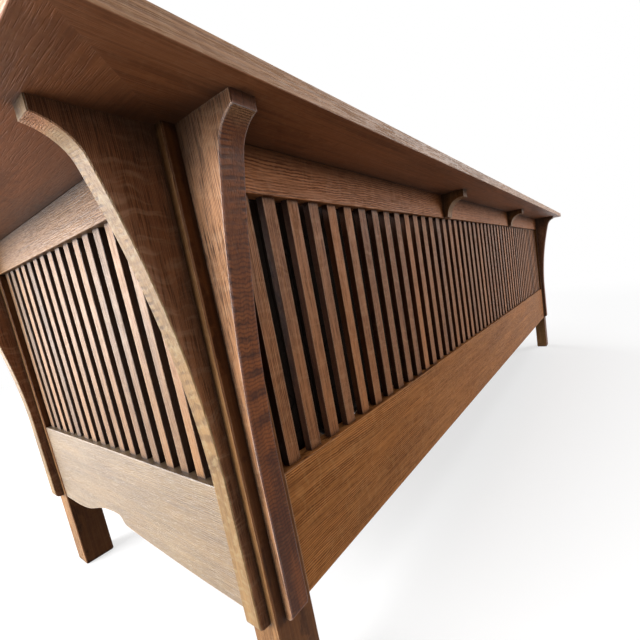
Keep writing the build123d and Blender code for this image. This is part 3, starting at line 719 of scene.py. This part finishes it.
class SETTLE_OT_seat_deck(bpy.types.Operator):
    """Give the hidden seat deck plain oak, and its screws steel"""

    bl_idname = "settle.seat_deck"
    bl_label = "Seat deck"

    def execute(self, context):
        row = ("X", SLAT_START, SLAT_PITCH)
        slats = oak("Seat slats", "Y", "X", 61.0, fleck=0.4, row=row, plain=True)
        long_grain = oak("Deck boards along", "X", "Z", 63.0, fleck=0.3, plain=True)
        cross_grain = oak("Deck boards across", "Y", "Z", 65.0, fleck=0.3, plain=True)
        upright = oak("Small blocks", "X", "Y", 67.0, fleck=0.3, plain=True)
        dress("seat_slats", slats)
        for node in ("seat_middle_beam", "seat_cleat_front", "seat_cleat_back"):
            dress(node, long_grain)
        for side in ("left", "right"):
            dress("seat_cleat_" + side, cross_grain)
            dress("seat_cross_rail_" + side, cross_grain)
            dress("mitre_spline_" + side, upright)
            for end in ("front", "back"):
                dress("corner_block_" + end + "_" + side, upright)
                dress("corbel_dowels_" + end + "_" + side, upright)
        steel, w, shader = principled("Screw steel")
        place = w.node("ShaderNodeTexCoord").outputs["Object"]
        scratch = w.noise(place, 900.0, 2.0)
        w.put(shader.inputs["Base Color"], w.blend(scratch, STEEL_DARK, STEEL_PALE))
        w.put(shader.inputs["Roughness"], w.math("MULTIPLY_ADD", scratch, 0.25, 0.28))
        shader.inputs["Metallic"].default_value = 1.0
        for place_name in ("front", "back", "left", "right"):
            dress("cleat_screws_" + place_name, steel)
        return {"FINISHED"}


# Cushions
CORNER_RADIUS = 0.03
CLOTH_FRAMES = 20
# How far the filling may move a point of the shell, and how much smaller the shell starts
MOST_SWELL = 0.012
SHELL_SHRINK = 0.012
# How far the crowned top of a back cushion stands above its solid, to fill the gaps between the spindles
BACK_RISE = 0.010
CLOTH = {
    "quality": 6,
    "mass": 0.4,
    "tension_stiffness": 60.0,
    "compression_stiffness": 60.0,
    "shear_stiffness": 40.0,
    "bending_stiffness": 3.0,
    "use_pressure": True,
}


def leather_material():
    """Dark waxed leather, made once."""
    name = "Dark leather"
    if name in bpy.data.materials:
        return bpy.data.materials[name]
    settings = bpy.context.scene.settle_leather
    material, w, shader = principled(name)
    place = w.node("ShaderNodeTexCoord").outputs["Object"]
    outputs = w.group(
        leather_group(),
        Place=place,
        Hide=rgba(settings.hide),
        Rubbed=rgba(settings.rubbed),
        Crease=rgba(settings.crease),
    )
    finish_surface(w, shader, outputs, depth=0.0012, strength=0.7)
    shader.inputs["Specular IOR Level"].default_value = 0.06
    return material


def round_corner(x, y, half_x, half_y, radius):
    """Move a point of a rectangle onto a rectangle with round corners."""
    inner_x = half_x - radius
    inner_y = half_y - radius
    over_x = abs(x) - inner_x
    over_y = abs(y) - inner_y
    if over_x <= 0 or over_y <= 0:
        return x, y
    far = max(over_x, over_y)
    reach = math.hypot(over_x, over_y)
    scale = far / reach
    return math.copysign(inner_x + over_x * scale, x), math.copysign(inner_y + over_y * scale, y)


def cushion_shell(size, cell, crown):
    """Closed shell of a box cushion about its middle, with its faces and its two seams.

    The first two sizes are the panel, the third is the band between the two panels.
    """
    counts = [max(4, round(extent / cell)) for extent in size]
    half = [extent / 2 for extent in size]
    numbers = {}
    points = []
    for i in range(counts[0] + 1):
        for j in range(counts[1] + 1):
            for k in range(counts[2] + 1):
                edge_i = i in (0, counts[0])
                edge_j = j in (0, counts[1])
                if not (edge_i or edge_j or k in (0, counts[2])):
                    continue
                x = size[0] * i / counts[0] - half[0]
                y = size[1] * j / counts[1] - half[1]
                z = size[2] * k / counts[2] - half[2]
                dome = (1 - (x / half[0]) ** 2) * (1 - (y / half[1]) ** 2)
                if k in (0, counts[2]):
                    z += math.copysign(crown * dome, z)
                radius = min(CORNER_RADIUS, half[0] / 2, half[1] / 2)
                x, y = round_corner(x, y, half[0], half[1], radius)
                numbers[(i, j, k)] = len(points)
                points.append(Vector((x, y, z)))
    faces = []

    def tile(a, b, c, d, flip):
        """One square of the shell."""
        ring = [numbers[a], numbers[b], numbers[c], numbers[d]]
        faces.append(ring[::-1] if flip else ring)

    for i in range(counts[0]):
        for j in range(counts[1]):
            for k, flip in ((0, True), (counts[2], False)):
                tile((i, j, k), (i + 1, j, k), (i + 1, j + 1, k), (i, j + 1, k), flip)
    for i in range(counts[0]):
        for k in range(counts[2]):
            for j, flip in ((0, False), (counts[1], True)):
                tile((i, j, k), (i + 1, j, k), (i + 1, j, k + 1), (i, j, k + 1), flip)
    for j in range(counts[1]):
        for k in range(counts[2]):
            for i, flip in ((0, True), (counts[0], False)):
                tile((i, j, k), (i, j + 1, k), (i, j + 1, k + 1), (i, j, k + 1), flip)
    seams = []
    for k in (0, counts[2]):
        loop = [(i, 0, k) for i in range(counts[0])]
        loop += [(counts[0], j, k) for j in range(counts[1])]
        loop += [(i, counts[1], k) for i in range(counts[0], 0, -1)]
        loop += [(0, j, k) for j in range(counts[1], 0, -1)]
        seams.append([numbers[key] for key in loop])
    return points, faces, seams


def settle_cloth(piece, pressure):
    """Blow the shell up as stuffed leather and keep the result."""
    start = [vertex.co.copy() for vertex in piece.data.vertices]
    modifier = piece.modifiers.new("Filling", "CLOTH")
    cloth = modifier.settings
    for key, value in CLOTH.items():
        setattr(cloth, key, value)
    cloth.uniform_pressure_force = pressure
    cloth.effector_weights.gravity = 0.0
    modifier.collision_settings.use_collision = False
    modifier.point_cache.frame_start = 1
    modifier.point_cache.frame_end = CLOTH_FRAMES
    for number in range(1, CLOTH_FRAMES + 1):
        bpy.context.scene.frame_set(number)
    graph = bpy.context.evaluated_depsgraph_get()
    blown = piece.evaluated_get(graph)
    moved = [vertex.co.copy() for vertex in blown.data.vertices]
    piece.modifiers.remove(modifier)
    bpy.context.scene.frame_set(1)
    for vertex, before, after in zip(piece.data.vertices, start, moved):
        shift = after - before
        if shift.length > MOST_SWELL:
            shift *= MOST_SWELL / shift.length
        vertex.co = before + shift


def make_cushion_form(name, size, cell, crown, pressure):
    """Simulated shell of one kind of cushion, about its own middle."""
    points, faces, seams = cushion_shell(size, cell, crown)
    mesh = bpy.data.meshes.new(name)
    mesh.from_pydata(points, [], faces)
    mesh.update()
    form = bpy.data.objects.new(name, mesh)
    bpy.context.scene.collection.objects.link(form)
    settle_cloth(form, pressure)
    shell = [vertex.co.copy() for vertex in form.data.vertices]
    bpy.data.objects.remove(form)
    bpy.data.meshes.remove(mesh)
    return shell, faces, seams


def fit_to_box(points, low, high, press_low, press_high):
    """Scale points so that they overshoot a box by the press amounts, then flatten them on it."""
    fitted = [point.copy() for point in points]
    for axis in range(3):
        least = min(point[axis] for point in points)
        most = max(point[axis] for point in points)
        start = low[axis] - press_low[axis]
        end = high[axis] + press_high[axis]
        for point in fitted:
            along = (point[axis] - least) / (most - least)
            point[axis] = min(max(start + along * (end - start), low[axis]), high[axis])
    return fitted


def welt_mesh(points, seam, low, high, radius):
    """Tube along a seam, kept inside the cushion's box."""
    curve = bpy.data.curves.new("Welt", "CURVE")
    curve.dimensions = "3D"
    curve.bevel_depth = radius
    curve.bevel_resolution = 2
    spline = curve.splines.new("POLY")
    spline.points.add(len(seam) - 1)
    for target, number in zip(spline.points, seam):
        place = [
            min(max(points[number][axis], low[axis] + radius), high[axis] - radius) for axis in range(3)
        ]
        target.co = (*place, 1.0)
    spline.use_cyclic_u = True
    holder = bpy.data.objects.new("Welt", curve)
    bpy.context.scene.collection.objects.link(holder)
    graph = bpy.context.evaluated_depsgraph_get()
    mesh = bpy.data.meshes.new_from_object(holder.evaluated_get(graph))
    bpy.data.objects.remove(holder)
    return mesh


def place_cushion(node, form, turn, low, high, press_low, press_high):
    """Leather cushion in the space of its frame solid, with welts along its seams."""
    settings = bpy.context.scene.settle_leather
    shell, faces, seams = form
    turned = [turn @ point for point in shell]
    points = fit_to_box(turned, low, high, press_low, press_high)
    mesh = bpy.data.meshes.new(node)
    flip = turn.determinant() < 0
    mesh.from_pydata(points, [], [face[::-1] if flip else face for face in faces])
    mesh.update()
    piece = bpy.data.objects.new(node + "_leather", mesh)
    bpy.context.scene.collection.objects.link(piece)
    mesh.materials.append(leather_material())
    for polygon in mesh.polygons:
        polygon.use_smooth = True
    smooth = piece.modifiers.new("Smooth", "SUBSURF")
    smooth.levels = smooth.render_levels = 1
    welts = bpy.data.meshes.new(node + "_welt")
    parts = [welt_mesh(points, seam, low, high, settings.welt_radius) for seam in seams]
    corners = []
    tiles = []
    for part in parts:
        first = len(corners)
        corners += [vertex.co.copy() for vertex in part.vertices]
        tiles += [[first + number for number in polygon.vertices] for polygon in part.polygons]
        bpy.data.meshes.remove(part)
    welts.from_pydata(corners, [], tiles)
    welts.update()
    welts.materials.append(leather_material())
    for polygon in welts.polygons:
        polygon.use_smooth = True
    trim = bpy.data.objects.new(node + "_welt", welts)
    bpy.context.scene.collection.objects.link(trim)
    trim.parent = piece
    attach(piece, node)
    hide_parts(node)


def panel_size(low, high, thickness_axis):
    """Panel and band sizes of a cushion from its box."""
    extent = [high[axis] - low[axis] for axis in range(3)]
    panel = [extent[axis] for axis in range(3) if axis != thickness_axis]
    return panel + [extent[thickness_axis]]


def make_cushions(kind, model, thickness_axis, pieces, rise=0.0):
    """Make one form and place it in every cushion of a kind.

    A piece is its side, its turn and how far it is pressed on the low and high faces of its box.
    """
    settings = bpy.context.scene.settle_leather
    low, high = node_box(kind + "_cushion_" + model)
    size = [extent - SHELL_SHRINK for extent in panel_size(low, high, thickness_axis)]
    form = make_cushion_form(kind + "_form", size, settings.cell, settings.crown, settings.pressure)
    for side, turn, press_low, press_high in pieces:
        node = kind + "_cushion_" + side
        low, high = node_box(node)
        high.z += rise
        place_cushion(node, form, turn, low, high, press_low, press_high)


# The left cushion is the mirror image of the right one
MIRRORS = (("left", -1.0), ("middle", 1.0), ("right", 1.0))


class SETTLE_OT_seat_cushions(bpy.types.Operator):
    """Make the three seat cushions"""

    bl_idname = "settle.seat_cushions"
    bl_label = "Seat cushions"

    def execute(self, context):
        make_cushions("seat", "middle", 2, [
            (side, Matrix.Diagonal((mirror, 1.0, 1.0)), (0.006, 0.004, 0.024), (0.006, 0.004, 0.0))
            for side, mirror in MIRRORS
        ])
        return {"FINISHED"}


class SETTLE_OT_back_cushions(bpy.types.Operator):
    """Make the three back cushions"""

    bl_idname = "settle.back_cushions"
    bl_label = "Back cushions"

    def execute(self, context):
        upright = Matrix(((1.0, 0.0, 0.0), (0.0, 0.0, -1.0), (0.0, 1.0, 0.0)))
        make_cushions("back", "middle", 1, [
            (side, Matrix.Diagonal((mirror, 1.0, 1.0)) @ upright, (0.006, 0.0, 0.008), (0.006, 0.018, 0.0))
            for side, mirror in MIRRORS
        ], BACK_RISE)
        return {"FINISHED"}


class SETTLE_OT_end_cushions(bpy.types.Operator):
    """Make the two end cushions"""

    bl_idname = "settle.end_cushions"
    bl_label = "End cushions"

    def execute(self, context):
        press = 0.016
        make_cushions("end", "right", 0, [
            (
                side,
                Matrix(((0.0, 0.0, outward), (1.0, 0.0, 0.0), (0.0, 1.0, 0.0))),
                (press if outward < 0 else 0.0, 0.004, 0.008),
                (press if outward > 0 else 0.0, 0.006, 0.0),
            )
            for side, outward in (("left", -1.0), ("right", 1.0))
        ])
        return {"FINISHED"}


# Stage
FLOOR_REACH = 14.0
# The floor's own colour fades to the room's white between these distances from the settle's middle
FADE_START, FADE_END = 1.6, 4.5
# Soft lamps: name, place, the point they face, width and height; the stage's settings hold their powers
LAMPS = (
    ("Key", (4.0, -1.5, 1.3), (0.95, 0.1, 0.35), 3.6, 2.4),
    ("Window", (2.0, -3.4, 1.0), (1.0, 0.0, 0.4), 2.6, 2.2),
    ("Fill", (-5.6, 6.0, 2.4), (0.0, 0.4, 0.35), 4.0, 3.0),
    ("Front", (-1.6, -3.6, 1.8), (0.0, 0.0, 0.4), 3.0, 2.2),
    ("Top", (0.0, 0.6, 3.2), (0.0, 0.1, 0.5), 3.5, 2.5),
)


def soft_lamp(name, place, target, width, height, power):
    """Large soft lamp that faces a target."""
    data = bpy.data.lights.new(name, "AREA")
    data.shape = "RECTANGLE"
    data.size = width
    data.size_y = height
    data.energy = power
    lamp = bpy.data.objects.new(name, data)
    lamp.location = place
    lamp.rotation_euler = (Vector(target) - Vector(place)).to_track_quat("-Z", "Y").to_euler()
    lamp.visible_camera = False
    bpy.context.scene.collection.objects.link(lamp)


class SETTLE_OT_stage(bpy.types.Operator):
    """Make the floor, the lamps and the camera of the photograph"""

    bl_idname = "settle.stage"
    bl_label = "Stage"

    def execute(self, context):
        settings = context.scene.settle_stage
        mesh = bpy.data.meshes.new("Floor")
        corners = ((-1, -1), (1, -1), (1, 1), (-1, 1))
        mesh.from_pydata([(FLOOR_REACH * x, FLOOR_REACH * y, 0.0) for x, y in corners], [], [(0, 1, 2, 3)])
        floor = bpy.data.objects.new("Floor", mesh)
        context.scene.collection.objects.link(floor)
        material, w, shader = principled("Pale floor")
        shown = w.shown()
        place = w.node("ShaderNodeTexCoord").outputs["Object"]
        away = w.node("ShaderNodeVectorMath", operation="LENGTH")
        w.put(away.inputs[0], place)
        far = w.step(away.outputs["Value"], FADE_START, FADE_END)
        bounce = settings.floor_bounce
        near_colour = w.blend(far, rgba(settings.floor), BLACK)
        w.put(shader.inputs["Base Color"], w.blend(shown, (bounce, bounce, bounce, 1.0), near_colour))
        glow = w.math("MULTIPLY_ADD", far, 1.0 - settings.floor_glow, settings.floor_glow)
        w.put(shader.inputs["Emission Strength"], w.math("MULTIPLY", shown, glow))
        shader.inputs["Emission Color"].default_value = WHITE
        shader.inputs["Roughness"].default_value = 1.0
        shader.inputs["Specular IOR Level"].default_value = 0.0
        mesh.materials.append(material)

        world = bpy.data.worlds.new("Room")
        context.scene.world = world
        world.use_nodes = True
        world.node_tree.nodes.clear()
        w = Wiring(world.node_tree)
        background = w.node("ShaderNodeBackground")
        background.inputs["Color"].default_value = WHITE
        w.put(background.inputs["Strength"], w.math("MAXIMUM", w.shown(), settings.room))
        w.put(w.node("ShaderNodeOutputWorld").inputs["Surface"], background.outputs[0])

        for name, lamp_place, target, width, height in LAMPS:
            power = getattr(settings, name.lower() + "_power")
            soft_lamp(name, lamp_place, target, width, height, power)

        data = bpy.data.cameras.new("Camera")
        data.sensor_width = 36.0
        data.sensor_fit = "HORIZONTAL"
        data.lens = settings.camera_lens
        data.shift_x, data.shift_y = settings.camera_shift
        data.clip_start = 0.01
        camera = bpy.data.objects.new("Camera", data)
        camera.location = settings.camera_place
        camera.rotation_euler = Euler(settings.camera_turn)
        context.scene.collection.objects.link(camera)
        context.scene.camera = camera
        context.scene.view_settings.view_transform = "Standard"
        return {"FINISHED"}


class SETTLE_PT_panel(bpy.types.Panel):
    """Steps that dress the settle"""

    bl_idname = "SETTLE_PT_panel"
    bl_label = "Settle"
    bl_space_type = "VIEW_3D"
    bl_region_type = "UI"
    bl_category = "Settle"

    def draw(self, context):
        for step in STEPS:
            self.layout.operator(step.bl_idname)
        for settings in (context.scene.settle_oak, context.scene.settle_leather, context.scene.settle_stage):
            box = self.layout.box()
            for key in settings.__annotations__:
                box.prop(settings, key)


SETTINGS = (SettleOak, SettleLeather, SettleStage)
STEPS = (
    SETTLE_OT_oak_frame,
    SETTLE_OT_spindles,
    SETTLE_OT_seat_deck,
    SETTLE_OT_seat_cushions,
    SETTLE_OT_back_cushions,
    SETTLE_OT_end_cushions,
    SETTLE_OT_stage,
)
CLASSES = SETTINGS + STEPS + (SETTLE_PT_panel,)


def register():
    """Register the classes and the scene's settings."""
    for item in CLASSES:
        bpy.utils.register_class(item)
    bpy.types.Scene.settle_oak = bpy.props.PointerProperty(type=SettleOak)
    bpy.types.Scene.settle_leather = bpy.props.PointerProperty(type=SettleLeather)
    bpy.types.Scene.settle_stage = bpy.props.PointerProperty(type=SettleStage)


def unregister():
    """Remove the settings and the classes."""
    del bpy.types.Scene.settle_oak
    del bpy.types.Scene.settle_leather
    del bpy.types.Scene.settle_stage
    for item in reversed(CLASSES):
        bpy.utils.unregister_class(item)


def main():
    """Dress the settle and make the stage."""
    register()
    bpy.ops.settle.oak_frame()
    bpy.ops.settle.spindles()
    bpy.ops.settle.seat_deck()
    bpy.ops.settle.seat_cushions()
    bpy.ops.settle.back_cushions()
    bpy.ops.settle.end_cushions()
    bpy.ops.settle.stage()


if __name__ == "__main__":
    main()
